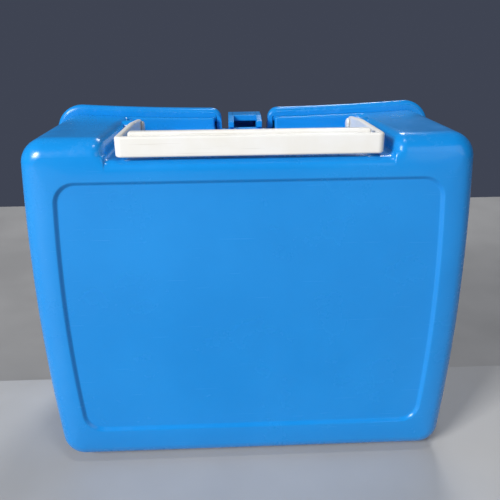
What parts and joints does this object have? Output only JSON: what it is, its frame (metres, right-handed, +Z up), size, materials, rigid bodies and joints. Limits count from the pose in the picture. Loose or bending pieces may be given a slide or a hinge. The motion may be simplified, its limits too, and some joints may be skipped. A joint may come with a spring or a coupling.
{
  "type": "lunch box",
  "caption": "Moulded plastic carrying case for a meal: deep rear shell, hinged front cover, centre latch and a fold-down bail handle.",
  "frame": {"origin": "under the middle of the box's bounding box, on the surface that its feet stand on", "axes": "+X to the right when facing the plain back, +Y from the plain back towards the front cover, +Z up"},
  "size_m": [0.2404, 0.11, 0.1955],
  "materials": {
    "blue_plastic": "gloss",
    "white_plastic": "satin",
    "steel": "drawn wire"
  },
  "bodies": {
    "case": {"rear_case": "blue_plastic", "handle_pin_left": "white_plastic", "handle_pin_right": "white_plastic", "hinge_pin_left": "steel", "hinge_pin_right": "steel"},
    "cover": {"front_cover": "blue_plastic", "latch_pin": "steel"},
    "handle": {"carry_handle": "white_plastic"},
    "latch": {"latch": "blue_plastic"},
    "bail": {"bottle_bail": "steel"}
  },
  "joints": [
    {"name": "cover_hinge", "type": "hinge", "parent": "case", "child": "cover", "pos_m": [0, 0.038, 0.003], "axis": [-1, 0, 0], "range_deg": [0, 100]},
    {"name": "handle_pivot", "type": "hinge", "parent": "case", "child": "handle", "pos_m": [0, 0.016, 0.185], "axis": [-1, 0, 0], "range_deg": [0, 95]},
    {"name": "latch_pivot", "type": "hinge", "parent": "cover", "child": "latch", "pos_m": [0, 0.0507, 0.1695], "axis": [-1, 0, 0], "range_deg": [0, 95]},
    {"name": "bail_swing", "type": "hinge", "parent": "case", "child": "bail", "pos_m": [0.024, -0.0469, 0.0955], "axis": [0, 0, 1], "range_deg": [0, 90]}
  ]
}
